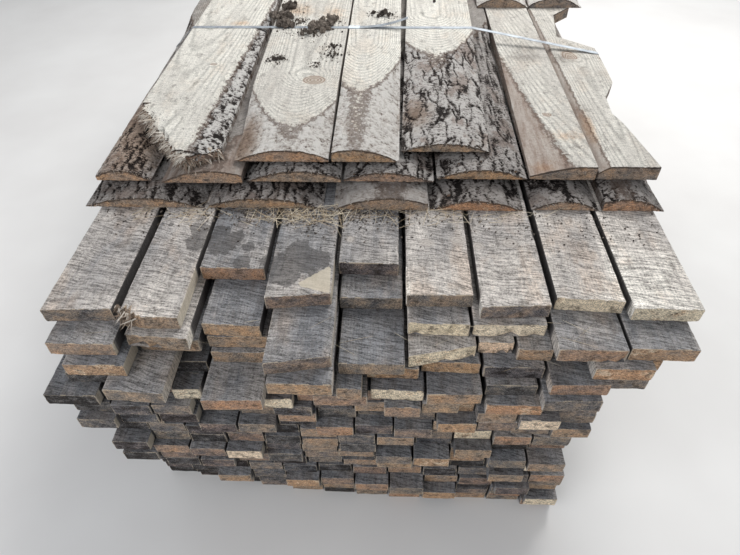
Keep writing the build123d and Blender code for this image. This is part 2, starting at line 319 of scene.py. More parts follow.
def makeEnd():
    wood = Finish("pine end grain", specular=0.2)
    seed = wood.fact("seed") * 40
    blotch = wood.cloud((24, 24, 36), shift=seed)
    fine = wood.cloud((330, 330, 400), 4, 0.8, seed).above(0.34, 0.66)
    scratch = wood.cloudAt(wood.x * 130 + wood.z * 60, seed, wood.z * 240 - wood.x * 30, 3, 0.7)
    scratch = scratch.above(0.36, 0.64)
    ring = wood.rings(wood.cloud((30, 30, 30), 1, 0.4, seed) * 0.002, endLook["ringPitch"])
    level = wood.fact("endTone") + (blotch - 0.5) * 1.1 + (fine - 0.5) * 0.14
    hue = wood.ramp(wood.fact("seed"), endLook["hues"])
    colour = wood.tinted(0.8, wood.ramp(level, endLook["tones"]), hue)
    colour = wood.tinted(1, colour, wood.grey(0.5 - ring * 0.22 + scratch * 0.55 + fine * 0.8))
    dirt = wood.cloud((45, 45, 60), 5, 0.75, seed).above(0.52, 0.66)
    colour = wood.mix(dirt * 0.75, colour, endLook["dirt"])
    under = wood.fact("under")
    rim = (under + (blotch - 0.5) * 0.006).above(0.0055, 0.0032)
    colour = wood.mix(rim * 0.8, colour, endLook["rim"])
    # cream along the edges of board ends: frayed fibres, and partly a painted highlight where the edge
    # catches the light
    frayedAndLit = (wood.fact("bark") + (fine - 0.5) * 0.8 + (blotch - 0.5) * 2.2).above(0.4, 0.85)
    colour = wood.mix(frayedAndLit * under.above(0.5, 0.6) * 0.6, colour, endLook["frayedAndLit"])
    return wood.finishWith(colour, 0.9, fine * 0.4 + scratch * 0.4 + ring * 0.25, 0.0012)


def makeSteel(name, colour, dull):
    steel = Finish(name, specular=0.5)
    worn = steel.cloud((30, 30, 30))
    fine = steel.cloud((900, 60, 900), 2, 0.5)
    body = steel.mix(worn.above(0.35, 0.75), colour, dull)
    rust = steel.cloud((90, 90, 90)).above(0.62, 0.75)
    body = steel.mix(rust * 0.5, body, (0.2, 0.11, 0.06))
    return steel.finishWith(body, 0.42 + worn * 0.3, fine + worn * 0.5, 0.0002, 0.75 - rust * 0.6)


# soil, straw and fibres: a cloud and each thing's own shade, on a ramp of colours

soilLook = {
    "specular": 0.2, "scale": 140, "detail": 5, "rough": 0.7, "cloud": 0.9, "own": 0.5, "lift": -0.12,
    "stops": [(0.22, (0.025, 0.021, 0.019)), (0.5, (0.1, 0.084, 0.073)), (0.72, (0.21, 0.178, 0.15)),
              (1, (0.42, 0.37, 0.32))], "roughness": 0.95, "depth": 0.003,
}
dryStrawLook = {
    "specular": 0.3, "scale": 200, "detail": 3, "rough": 0.6, "cloud": 0.35, "own": 0.75, "lift": 0,
    "stops": [(0.2, (0.2, 0.14, 0.085)), (0.55, (0.48, 0.39, 0.27)), (0.9, (0.74, 0.66, 0.52))],
    "roughness": 0.7, "depth": 0.0004,
}
tornFibreLook = {
    "specular": 0.2, "scale": 160, "detail": 3, "rough": 0.7, "cloud": 0.4, "own": 0.7, "lift": 0,
    "stops": [(0.15, (0.06, 0.042, 0.032)), (0.45, (0.27, 0.205, 0.155)), (0.7, (0.58, 0.53, 0.46)),
              (1, (0.74, 0.7, 0.64))], "roughness": 0.85, "depth": 0.0005,
}


def makeLitter(name, look):
    litter = Finish(name, look["specular"])
    cloudy = litter.cloud((look["scale"],) * 3, look["detail"], look["rough"])
    level = cloudy * look["cloud"] + litter.fact("shade") * look["own"] + look["lift"]
    return litter.finishWith(litter.ramp(level, look["stops"]), look["roughness"], cloudy, look["depth"])


def makeFloor():
    ground = Finish("pale floor", specular=0.1)
    cloudy = ground.cloud((2, 2, 2), 3, 0.5)
    colour = ground.ramp(cloudy, [(0.3, (0.7, 0.69, 0.68)), (0.7, (0.76, 0.755, 0.745))])
    return ground.finishWith(colour, 0.95, cloudy, 0.0005)


sawnPine = makeSawn()
slabWood = makeSlab()
endGrain = makeEnd()
strapSteel = makeSteel("dull strap steel", (0.34, 0.375, 0.41), (0.16, 0.175, 0.195))
sealSteel = makeSteel("brighter seal steel", (0.6, 0.66, 0.72), (0.4, 0.45, 0.5))
soil = makeLitter("dry soil", soilLook)
dryStraw = makeLitter("dry straw", dryStrawLook)
tornFibre = makeLitter("torn fibre", tornFibreLook)
print("materials made")


# one piece in the making: points, faces and what each point knows

factNames = ("tone", "endTone", "grain", "seed", "wet", "fresh", "bark", "barkKind", "relief", "knot",
             "under")
# side faces this small and turned this far count as end grain
endFaces = {"facing": 0.55, "largest": 0.0009}


class Heap:
    def __init__(self):
        self.points, self.facts, self.faces, self.kinds = [], [], [], []

    def block(self, acrossList, highList, alongList, place, facts, flatBottom=False):
        # a closed block: loops round its section, joined along its length, and two end grids
        lastA, lastB, lastT = len(acrossList) - 1, len(highList) - 1, len(alongList) - 1
        rim = [(0, 0)] if flatBottom else [(a, 0) for a in range(lastA)]
        rim += [(lastA, b) for b in range(lastB)]
        rim += [(a, lastB) for a in range(lastA, 0, -1)] + [(0, b) for b in range(lastB, 0, -1)]
        known = {}

        def index(a, b, t):
            key = (a, b, t)
            if key not in known:
                known[key] = len(self.points)
                at = (acrossList[a], highList[b], alongList[t])
                self.points.append(place(*at))
                self.facts.append(facts(*at))
            return known[key]

        for t in range(lastT):
            for (a0, b0), (a1, b1) in zip(rim, rim[1:] + rim[:1]):
                if flatBottom and (a0, b0) == (0, 0):
                    # the underside needs its many points only where it meets an end
                    near = range(lastA + 1) if t == 0 else (0, lastA)
                    far = range(lastA + 1) if t == lastT - 1 else (0, lastA)
                    farSide = [index(a, 0, t + 1) for a in far]
                    face = farSide + [index(a, 0, t) for a in reversed(near)]
                else:
                    face = [index(a0, b0, t), index(a0, b0, t + 1), index(a1, b1, t + 1), index(a1, b1, t)]
                self.faces.append(face)
                self.kinds.append(0)
        for t, backward in ((0, False), (lastT, True)):
            for a in range(lastA):
                for b in range(lastB):
                    quad = [index(a, b, t), index(a + 1, b, t), index(a + 1, b + 1, t), index(a, b + 1, t)]
                    self.faces.append(quad[::-1] if backward else quad)
                    self.kinds.append(1)

    def piece(self, name, side, node):
        mesh = bpy.data.meshes.new(name)
        mesh.from_pydata(self.points, [], self.faces)
        mesh.materials.append(side)
        mesh.materials.append(endGrain)
        for number, factName in enumerate(factNames):
            layer = mesh.attributes.new(factName, "FLOAT", "POINT")
            layer.data.foreach_set("value", [fact[number] for fact in self.facts])
        kinds = []
        for polygon, kind in zip(mesh.polygons, self.kinds):
            facing = abs(polygon.normal.y) > endFaces["facing"] and polygon.area < endFaces["largest"]
            kinds.append(1 if kind == 1 or facing else 0)
        mesh.polygons.foreach_set("material_index", kinds)
        mesh.update()
        item = show(name, mesh)
        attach(item, "root")
        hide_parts(node)


def islands(node):
    # the boards of one CAD layer: a merged copy of its mesh, split into loose shells
    work = bmesh.new()
    work.from_mesh(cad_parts[node].data)
    bmesh.ops.remove_doubles(work, verts=work.verts, dist=0.00002)
    work.verts.ensure_lookup_table()
    seen = set()
    shells = []
    for start in work.verts:
        if start.index in seen:
            continue
        shell, front = [], [start]
        seen.add(start.index)
        while front:
            vert = front.pop()
            shell.append(vert.co.copy())
            for edge in vert.link_edges:
                other = edge.other_vert(vert)
                if other.index not in seen:
                    seen.add(other.index)
                    front.append(other)
        shells.append(shell)
    work.free()
    return sorted(shells, key=lambda shell: min(point.x for point in shell))


def steps(length, fine, fineLength, growth, coarse):
    # places along a board: close together near its end, then ever further apart
    spots = [0, 0.0025, 0.007]
    step = fine
    while spots[-1] + step < length - 0.03:
        spots.append(spots[-1] + step)
        if spots[-1] > fineLength:
            step = min(step * growth, coarse)
    return spots + [length - 0.0025, length]


def evenly(count, edge):
    # shares of a width, with a narrow strip along both edges
    return [0, edge] + [edge + (1 - 2 * edge) * k / count for k in range(1, count)] + [1 - edge, 1]


# studs and boards

# one letter for each piece of a layer, from the left. Ends: k black, b blue-grey, g grey, t tan,
# o orange, c cream, and a capital where the end is torn. Tops: d dark, b blue-grey, g grey, w warm, l light
endTones = {"k": 0.06, "b": 0.21, "g": 0.36, "t": 0.54, "o": 0.72, "c": 1.06}
topTones = {"d": 0.24, "b": 0.35, "g": 0.48, "w": 0.62, "l": 0.76}
# ends and tops of each layer from the lowest up, where the tops on the left that aren't named are dark
# the black ends on the left of the lower layers are painted shadow, the shadow over the stack's lower left
layerLetters = [
    ("kkkgtkgtktgt", ""), ("kkgbktgtbgtc", ""), ("kktggtgbokgt", ""), ("kktbogtgtgbg", ""),
    ("ktkgbkgtkggt", "g"), ("kkbgkgtbgktg", "b"), ("kgtkbgbtgtgc", "b"), ("ktgcbgtgotgt", "bbb"),
    ("kgkgktbgbtkg", "bb"), ("kgkgktbtgctg", "bbgg"), ("kgkbgktbgctgt", "bgb"), ("bbkkgtbbgogtg", "bwbb"),
    ("bbgktbbtbotcg", "bdbdbg"), ("kggckgcttttkog", "bdbbdbg"), ("kgktttctbgg", "bbbbbbbg"),
    ("ggktttoobto", "bdbbbgbbbw"), ("otttgCCtko", "bbdbdgwbbg"), ("tTtggCCTo", "bwdbdbwbb"),
    ("gttgbggcc", "wwbbgwwgl"),
]

studLook = {"across": 4, "high": 2, "fine": 0.02, "fineLength": 0.06, "growth": 1.7, "coarse": 0.5,
            "wear": 0.0016, "wave": 0.0006, "ragged": 0.003, "sideLight": 0.12}
boardLook = {"across": 9, "high": 4, "fine": 0.012, "fineLength": 0.2, "growth": 1.3, "coarse": 0.22,
             "wear": 0.0022, "wave": 0.0008, "ragged": 0.0045, "sideLight": 0.3}
topBoardLook = {"across": 20, "high": 5, "fine": 0.01, "fineLength": 0.52, "growth": 1.25, "coarse": 0.2,
                "wear": 0.0026, "wave": 0.0008, "ragged": 0.004, "sideLight": 0.25}

# what holds for all of them, in m; the creamy sides are those that stand clear on the right, painted cream as
# lit from the right
allBoards = {"pithDepth": (0.03, 0.11), "tilt": 0.012, "bend": 0.012, "litSideCream": (0.36, 0.4, 0.45),
             "tornDepth": 0.016, "rimWidth": 0.004, "rimHeight": 0.003, "alwaysClear": 9, "gapShade": 2}

# a corner broken off, by layer and place in the layer: share of the width, depth and reach in m
brokenCorners = {("board_layer_19", 1): (0.42, 0.034, 0.13)}

# the highest board layer: tones of its tops, the board with a paler right edge, wet marks as (x, y, radius),
# a patch of fresh wood, and pale knots as (x, y, half width, half length), all in mm
highest = {
    "node": "board_layer_19", "tones": [0.58, 0.59, 0.34, 0.4, 0.36, 0.7, 0.62, 0.7, 0.74],
    "litSideCream": 0.5, "paleBoard": 7, "paleFrom": 0.88, "paler": 0.16, "slabShade": 0.1, "footLength": 0.2,
    "wetSpread": 1.36,
    "wet": [(-418, -1031, 30), (-425, -990, 26), (-359, -1037, 33), (-372, -1000, 24), (-294, -1048, 16),
            (-302, -1102, 22), (-218, -1114, 36), (-236, -1096, 18), (-151, -1092, 40), (-176, -1060, 30),
            (-120, -1090, 24), (-190, -1138, 28), (-330, -1010, 18), (-498, -968, 8)],
    "patch": [(-168, -1168), (-99, -1108), (-95, -1190)],
    "knots": [(120, -1025, 22, 15), (193, -1013, 24, 17), (238, -1034, 20, 16), (313, -1021, 24, 20),
              (-60, -1015, 14, 10)],
}


def awayFrom(x, y, spot):
    # distance from an oval spot's middle, where 1 is its rim; spot: x, y and its half sizes
    return math.hypot((x - spot[0]) / spot[2], (y - spot[1]) / spot[3])


def span(shell, axis):
    values = [point[axis] for point in shell]
    return min(values), max(values)


def insideTriangle(x, y, corners):
    # 0 outside and 1 inside, with a soft border 10 mm wide
    depths = []
    for (x0, y0), (x1, y1) in zip(corners, corners[1:] + corners[:1]):
        depths.append(((y1 - y0) * (x - x0) - (x1 - x0) * (y - y0)) / math.hypot(x1 - x0, y1 - y0))
    return clamped(0.5 + min(depths) / 10)


def addBoard(heap, rng, layer, number, shell, clear):
    node, look, letters = layer
    marked = node == highest["node"]
    (left, right), (low, high) = span(shell, 0), span(shell, 2)
    leftSide = [point.y for point in shell if point.x < left + 0.001]
    frontLeft = min(leftSide)
    frontRight = min(point.y for point in shell if point.x > right - 0.001)
    length = max(leftSide) - frontLeft
    width, thick = right - left, high - low
    endLetter, topLetter = letters[0][number], letters[1].rjust(len(letters[0]), "d")[number]
    torn = endLetter.isupper()
    endTone = endTones[endLetter.lower()] + rng.uniform(-0.05, 0.05)
    tone = topTones[topLetter] + rng.uniform(-0.04, 0.04)
    if marked:
        tone = highest["tones"][number]
    seed = rng.random()
    shift = Vector((rng.uniform(0, 90), rng.uniform(0, 90), rng.uniform(0, 90)))
    pithX = rng.uniform(0.1, 0.9) * width
    pithZ = rng.choice((-1, 1)) * rng.uniform(*allBoards["pithDepth"])
    tilt = rng.uniform(-allBoards["tilt"], allBoards["tilt"])
    litSideCream = highest["litSideCream"] if marked else rng.choice(allBoards["litSideCream"])
    share, depth, reach = brokenCorners.get((node, number), (0, 0, 1))
    paleFrom = highest["paleFrom"] if marked and number == highest["paleBoard"] else 1

    def place(a, b, t):
        x, z = left + a * width, low + b * thick
        y = frontLeft + (frontRight - frontLeft) * a + t
        if a < share and t < reach:
            jag = hum(x * 210, z * 130, 5) + 0.5 * hum(x * 420, z * 260, 7)
            y += max(0, depth * (1 - a / share) * (0.8 + 1.2 * jag)) * (0.3 + 0.7 * b) * (1 - t / reach)
        here = Vector((x * 26, y * 26, z * 26)) + shift
        atSide, atFlat = a in (0, 1), b in (0, 1)
        inX, inZ = (1 if a == 0 else -1), (1 if b == 0 else -1)
        worn = look["wear"] * (0.45 + 1.3 * max(0, noise.noise(here * 1.6)))
        wavy = look["wave"] * (0.5 + 0.5 * noise.noise(here))
        if atSide:
            x += (worn if atFlat else wavy) * inX
        if atFlat:
            z += (worn if atSide else wavy) * inZ
        if t in (0, length):
            fuzz = hum(x * 90, z * 70, 0, shift)
            chips = max(0, hum(x * 240, z * 60, 3, shift))
            deep = look["ragged"] * (0.18 * (1 + fuzz) + (0.9 * chips if atFlat or atSide else 0.25 * chips))
            if torn:
                deep += allBoards["tornDepth"] * max(0, hum(x * 160, z * 30, 9, shift)) * (1.4 - b)
            y += deep if t == 0 else -deep
            if atSide:
                x += 0.6 * worn * inX
            if atFlat:
                z += 0.6 * worn * inZ
        return Vector((x, y, z))

    def facts(a, b, t):
        x, z = a * width, b * thick
        bend = allBoards["bend"] * hum(t * 1.7, 0, 0, shift)
        grain = math.hypot(x - pithX - bend, z - pithZ - tilt * t + bend)
        wet = fresh = knot = 0
        atTop = b == 1
        if marked and atTop:
            xx, yy = (left + x) * 1000, (frontLeft + (frontRight - frontLeft) * a + t) * 1000
            blur = 0.35 * hum(xx / 22, yy / 22, 0)
            for markX, markY, radius in highest["wet"]:
                away = math.hypot(xx - markX, (yy - markY) * 0.8) / (highest["wetSpread"] * radius)
                wet = max(wet, 1 - away + blur)
            fresh = insideTriangle(xx, yy, highest["patch"])
            for spot in highest["knots"]:
                away = awayFrom(xx, yy, spot)
                knot = max(knot, 1 - away)
                grain += 0.012 * math.exp(-0.5 * away ** 2)
        dark = -0.1 if b == 0 else 0
        if marked:
            # painted shade: lighter near the front ends and darker towards the foot of the slabs, as if
            # shaded by them
            dark += highest["slabShade"] * (1 - 2 * min(1, t / highest["footLength"]))
        bright = 0.08 if min(a, 1 - a) * width < allBoards["rimWidth"] and atTop else 0
        if a > paleFrom and atTop:
            bright = highest["paler"]
        if a in (0, 1) and 0 < b < 1:
            # painted shade: the part of a side that a neighbour covers is darkened as the shade in the gap
            if t > clear[a]:
                wet = allBoards["gapShade"]
            elif clear[a] < 1:
                bright = look["sideLight"]   # painted light: a side that stands clear is lightened, and on the right painted cream
                fresh = litSideCream if a == 1 else 0
        rim = 1 if atTop or b == 0 and number % 2 or a in (0, 1) else 0
        return (tone + dark + bright, endTone, grain, seed, wet, fresh, rim, 0, 0, knot, 1)

    across = evenly(look["across"], min(allBoards["rimWidth"] / width, 0.2))
    along = steps(length, look["fine"], look["fineLength"], look["growth"], look["coarse"])
    heap.block(across, evenly(look["high"], allBoards["rimHeight"] / thick), along, place, facts)


def makeBoards(node, look, seed):
    heap = Heap()
    rng = random.Random(seed)
    shells = islands(node)
    fronts = [span(shell, 1)[0] for shell in shells]
    for number, shell in enumerate(shells):
        # how far the left and right sides stand clear; the outermost ones are clear all along
        clear = {0: allBoards["alwaysClear"], 1: allBoards["alwaysClear"]}
        if number:
            clear[0] = fronts[number - 1] - fronts[number]
        if number < len(shells) - 1:
            clear[1] = fronts[number + 1] - fronts[number]
        addBoard(heap, rng, (node, look, layerLetters[seed - 1]), number, shell, clear)
    heap.piece("dressed_" + node, sawnPine, node)


for number in range(1, 14):
    makeBoards(f"stud_layer_{number:02d}", studLook, number)
for number in range(14, 20):
    look = topBoardLook if number == 19 else boardLook
    makeBoards(f"board_layer_{number}", look, number)
print("studs and boards made")


# bark-edged slabs, with the same sizes as their solids, in mm

slabLook = {"thickness": 38, "shy": 0.4, "swellLength": 300, "knotRings": 0.4, "tornLength": 262}
# kinds of bark: w whitish and worn, a flaky, f fissured, s smooth inner bark
kindLooks = {
    "w": {"barkKind": 0, "depth": 3.6, "pitch": 4.6},
    "a": {"barkKind": 0.35, "depth": 5.5, "pitch": 4.2},
    "f": {"barkKind": 0.6, "depth": 6.5, "pitch": 3},
    "s": {"barkKind": 1, "depth": 1.2, "pitch": 6.5},
}
# each row of slabs; the lower rows' bark is darker. Marks darken and brown the tops, as
# (x, y, half width, half length, dark, brown), and fine, in m, is how far the mesh stays fine
rowLooks = {
    "slab_layer_20": {
        "bottom": boardTop, "grime": 0.6, "coarser": 1.3, "fine": {"f": 0.09, "w": 0.09}, "marks": []},
    "slab_layer_21": {
        "bottom": 760, "grime": 0.42, "coarser": 1.2, "fine": {"f": 0.14, "s": 0.3},
        # the dark of the first two marks, on the two slabs under the strap, is a painted shadow of the strap
        "marks": [(470, -165, 75, 42, 0.85, 0), (585, -190, 50, 36, 0.5, 0), (498, -672, 70, 34, 0, 0.5),
                  (420, -800, 38, 34, 0, 0.7), (573, -620, 16, 90, 0.3, 0.9), (-650, -600, 90, 330, 0.6, 1)]},
    "slab_layer_22": {
        "bottom": 798, "grime": 0, "coarser": 1, "fine": {"a": 1, "w": 0.36, "f": 0.62},
        "marks": [(-500, 3, 36, 26, 0.15, 0.8), (-310, 130, 80, 60, 0.25, 0.7), (-180, 90, 60, 70, 0.1, 0.6),
                  (-350, -740, 42, 130, 1, 0.8), (100, -590, 50, 90, 0.75, 0.7),
                  (-70, -690, 40, 60, 0.05, 0.3)]},
}
usualSlab = {"length": 2135, "swell": 46, "lateSwell": 12, "leftLean": 0, "rightLean": 0, "notch": [],
             "nearEnd": None, "torn": 0, "tone": 0.6, "endTone": 0.56}


def slabOf(kind, left, right, setback, centre, crown, flatFrom, **rest):
    return dict(usualSlab, kind=kind, left=left, right=right, setback=setback, centre=centre, crown=crown,
                flatFrom=flatFrom, **rest)


slabRows = {
    "slab_layer_20": [
        slabOf("f", -739, -436, 455, -590, 30, 500),
        slabOf("f", -425, -136, 457, -290, 31, 420),
        slabOf("w", -110, 125, 455, 30, 37, 60),
        slabOf("f", 130, 360, 457, 245, 30, 480, endTone=0.64),
        slabOf("f", 382, 547, 462, 465, 28, 440),
        slabOf("f", 556, 706, 462, 610, 36, 120, rightLean=20, notch=[(700, 180), (606, 560), (640, 900)]),
    ],
    "slab_layer_21": [
        slabOf("f", -720, -580, 515, -660, 31, 900, leftLean=-40),
        slabOf("s", -551, -343, 508, -420, 36, 150),
        slabOf("f", -335, -94, 517, -200, 33, 600),
        slabOf("f", -87, 141, 522, 20, 28, 700),
        slabOf("f", 149, 376, 537, 265, 29, 800, rightLean=12, endTone=0.66),
        slabOf("s", 383, 546, 538, 600, 37, -300, swell=9, lateSwell=77, leftLean=12, tone=0.8, grime=0),
        slabOf("s", 553, 701, 541, 640, 37, -300, swell=14, lateSwell=20, rightLean=32, tone=0.8, grime=0,
               notch=[(668, 214), (652, 268), (660, 366), (706, 460), (714, 620), (714, 710), (606, 808),
                      (636, 1010), (712, 1090)]),
    ],
    "slab_layer_22": [
        slabOf("a", -665, -402, 519, -600, 37, -300, swell=13, lateSwell=30, leftLean=12, rightLean=-12,
               torn=16, tone=0.93, endTone=0.38,
               nearEnd=[(-665, 249), (-587, 131), (-505, 13), (-481, 0), (-440, 23), (-402, 60)]),
        slabOf("w", -366, -126, 550, -235, 34, 120, leftLean=-42, rightLean=10, tone=0.86),
        slabOf("w", -118, 52, 552, -60, 36, 320, leftLean=8, rightLean=26, tone=0.92),
        slabOf("f", 58, 288, 602, 172, 25, 514, leftLean=60, rightLean=52, tone=0.9),
        slabOf("w", 358, 552, 1621, 450, 37, 30, length=914, endTone=0.42),
        slabOf("w", 556, 756, 1621, 650, 37, 30, length=914, endTone=0.42),
    ],
}
# knots on sawn tops, as (x, y, half length, half width)
slabKnots = [(-196, -434, 38, 30), (618, -180, 26, 20), (-520, -330, 12, 9), (470, -560, 14, 9),
             (-60, -620, 10, 7)]


def cracked(x, y, wide, long, seed, sharp):
    # 0 along the borders of irregular plates, 1 on them
    bendX = 0.5 * hum(x / 60, y / 45, seed) + 0.22 * hum(x / 15, y / 14, seed + 3)
    bendY = 0.4 * hum(x / 25, y / 60, seed + 7)
    near, far = noise.voronoi(Vector((x / wide + bendX * 0.8, y / long + bendY, seed)))[0][:2]
    return min(1, (far - near) * sharp)


def barkRelief(x, y, kind, seed):
    # 1 on the bark's outer face, 0 at the bottom of a fissure
    fine = noise.fractal(Vector((x / 11, y / 13, seed)), 0.7, 2, 3)
    if kind == "f":
        # long winding cracks along the log, in places closed up, and small scales between them
        shallow = max(0, hum(x / 55, y / 60, seed + 11)) * 2.4
        plates = max(cracked(x, y, 29, 165, seed, 6.5), shallow)
        return clamped(0.68 * min(1, plates) + 0.14 * cracked(x, y, 12, 17, seed + 20, 2.6) + 0.2 * fine)
    if kind == "a":
        pit = max(0, hum(x / 14, y / 24, seed + 4) - 0.2) * 1.5
        return clamped(0.36 + 0.4 * cracked(x, y, 24, 60, seed, 3) + 0.34 * fine - pit)
    if kind == "w":
        return clamped(0.34 + 0.34 * cracked(x, y, 26, 60, seed, 3.4) + 0.42 * fine)
    return clamped(0.5 + 0.5 * hum(x / 30, y / 55, seed))


def heartDepth(slab):
    # how far below a slab its log's heart lies, from the slab's width and the height of its crown
    reach = max(slab["centre"] - slab["left"], slab["right"] - slab["centre"])
    return (reach ** 2 + slab["crown"] ** 2) / (2 * slab["crown"]) - slab["crown"]


def addSlab(heap, rng, row, slab):
    length, kind, torn = slab["length"], slab["kind"], slab["torn"]
    thickness = slabLook["thickness"]
    front = frontLine + slab["setback"]
    centre, flatFrom = slab["centre"], slab["flatFrom"]
    depth = heartDepth(slab)
    # the log's radius along the slab: it reaches the saw plane at flatFrom, and swells past it
    cut = depth + thickness
    start = 0 if flatFrom > 0 else flatFrom - slabLook["swellLength"]
    skin = [(depth + slab["crown"], start), (cut - slabLook["shy"], flatFrom),
            (cut + slab["swell"], flatFrom + slabLook["swellLength"]),
            (cut + slab["swell"] + slab["lateSwell"], length)]
    outline = (slab["nearEnd"] or [(slab["left"], 0), (slab["right"], 0)]) + slab["notch"]
    outline = outline + [(slab[side] + slab[side + "Lean"], length) for side in ("right", "left")]
    kindLook = kindLooks[kind]
    tone = slab["tone"] + rng.uniform(-0.02, 0.02)
    endTone = slab["endTone"] + rng.uniform(-0.07, 0.07)
    seed = rng.uniform(0, 50)
    grime = slab.get("grime", row["grime"])

    def sides(t):
        level = min(max(t, 0.02), length - 0.02) + 0.0137   # never level with a corner
        found = []
        for (x0, t0), (x1, t1) in zip(outline, outline[1:] + outline[:1]):
            if (t0 - level) * (t1 - level) < 0:
                found.append(x0 + (x1 - x0) * (level - t0) / (t1 - t0))
        return min(found), max(found)

    def radius(t):
        for (r0, t0), (r1, t1) in zip(skin, skin[1:]):
            if t <= t1:
                return r0 + (r1 - r0) * (t - t0) / (t1 - t0)
        return skin[-1][0]

    def surface(a, t):
        # x, height of the top, bark relief, and how far the bark lies below the saw plane
        left, right = sides(t)
        x = left + a * (right - left)
        relief = barkRelief(x, t, kind, seed)
        raw = math.sqrt(max(radius(t) ** 2 - (x - centre) ** 2, 1)) - depth
        rough = raw - kindLook["depth"] * (1 - relief)
        uneven = 0.25 + 0.25 * hum(x / 30, t / 30, seed)
        return x, max(min(rough, thickness - uneven), 2), relief, thickness - raw

    def place(a, b, t):
        t = t * 1000
        x, top = surface(a, t)[:2]
        y = front + t
        if t == 0:
            y += 1.2 + 1.2 * hum(x / 9, b * 4, seed)
            if b in (0, 1):
                y += 3 * max(0, hum(x / 5, b, seed + 3))
        if torn and t < slabLook["tornLength"]:
            jag = hum(x / 7, b * 3, seed) + 0.6 * hum(x / 2.6, b * 5, seed)
            near = max(0, 1 - a * 9) if t > 20 else 1
            y += torn * near * (0.55 + jag) * 0.9
            x += torn * near * (0.5 + jag) * 0.35
            top -= near * (5 + 7 * max(0, jag)) if b > 0 else 0
        return Vector(((x - middle[0]) * mm, (y - middle[1]) * mm, (row["bottom"] + b * top) * mm))

    def facts(a, b, t):
        t = t * 1000
        x, top, relief, lack = surface(a, t)
        grain = (radius(t) - math.hypot(x - centre, depth + b * top)) * mm
        bark = clamped(0.5 + (lack - 1.2) / 8) if b > 0.9 else 0.62
        dark, brown, knot = grime, 0, 0
        xx, yy = x - middle[0], front + t - middle[1]
        if b == 1 and lack < 1:
            for spot in slabKnots:
                away = awayFrom(xx, yy, spot)
                knot = max(knot, 1 - away)
                # the rings swirl round it
                grain += slabLook["knotRings"] * spot[3] * mm * math.exp(-0.4 * away ** 2)
        if b == 1:
            for mark in row["marks"]:
                near = 1 - awayFrom(xx, yy, mark) / 1.4
                dark, brown = max(dark, near * mark[4]), max(brown, near * mark[5])
        under = (top - b * top) * mm
        kindNumber = kindLook["barkKind"]
        return (tone, endTone, grain, seed / 50, dark, brown, bark, kindNumber, relief, knot, under)

    pitch = kindLook["pitch"] * row["coarser"]
    corners = [spot / 1000 for x, spot in outline if 0 < spot < length]
    along = steps(length / 1000, pitch * mm, row["fine"][kind], 1.16, 0.06)
    apart = [spot for spot in corners if min(abs(spot - other) for other in along) > 0.0015]
    across = evenly(round((slab["right"] - slab["left"]) / pitch), 0.012)
    heap.block(across, evenly(3, 0.1), sorted(set(along + apart)), place, facts, flatBottom=True)


def makeSlabs(node):
    heap = Heap()
    rng = random.Random(node)
    for slab in slabRows[node]:
        addSlab(heap, rng, rowLooks[node], slab)
    heap.piece("dressed_" + node, slabWood, node)


for node in slabRows:
    makeSlabs(node)
print("slabs made")


# strap and seal keep their solids

for node, steel in (("steel_strap", strapSteel), ("strap_seal", sealSteel)):
    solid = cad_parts[node]
    solid.data.materials.clear()
    solid.data.materials.append(steel)
print("strap finished")


# what lies on the stack: soil, crumbs, straw and splinters, strewn by geometry nodes

def strewTree(name, material, roughen):
    # an instance on every point, turned and sized by the point's own facts, then roughened
    tree = bpy.data.node_groups.new(name, "GeometryNodeTree")
    sockets = {"Points": "Geometry", "Shape": "Object", "Roughness": "Float", "Lump size": "Float",
               "Seed": "Int"}
    for socket, kind in sockets.items():
        tree.interface.new_socket(socket, in_out="INPUT", socket_type="NodeSocket" + kind)
    tree.interface.new_socket("Result", in_out="OUTPUT", socket_type="NodeSocketGeometry")

    def add(kind, inputs, output, **settings):
        return addNode(tree, kind, inputs, **settings).outputs[output]

    def vectorMaths(operation, inputs):
        return add("ShaderNodeVectorMath", inputs, 0, operation=operation)

    def pointFact(name):
        return add("GeometryNodeInputNamedAttribute", {"Name": name}, "Attribute", data_type="FLOAT_VECTOR")

    given = addNode(tree, "NodeGroupInput").outputs
    shape = add("GeometryNodeObjectInfo", {"Object": given["Shape"]}, "Geometry")
    placed = {"Points": given["Points"], "Instance": shape, "Rotation": pointFact("turn"),
              "Scale": pointFact("size")}
    strewn = add("GeometryNodeInstanceOnPoints", placed, 0)
    geometry = add("GeometryNodeRealizeInstances", {"Geometry": strewn}, 0)
    if roughen:
        spot = add("GeometryNodeInputPosition", {}, 0)
        jitter = add("FunctionNodeRandomValue", {"Min": 0, "Max": 0.004, "Seed": given["Seed"]}, 1,
                     data_type="FLOAT")
        moved = vectorMaths("ADD", {0: spot, 1: jitter})
        lump = add("ShaderNodeTexNoise", {"Vector": moved, "Scale": given["Lump size"], "Detail": 3}, "Color")
        centred = vectorMaths("SUBTRACT", {0: lump, 1: (0.5, 0.5, 0.5)})
        offset = vectorMaths("SCALE", {0: centred, "Scale": given["Roughness"]})
        geometry = add("GeometryNodeSetPosition", {"Geometry": geometry, "Offset": offset}, 0)
    painted = add("GeometryNodeSetMaterial", {"Geometry": geometry, "Material": material}, 0)
    addNode(tree, "NodeGroupOutput", {0: painted})
    return tree


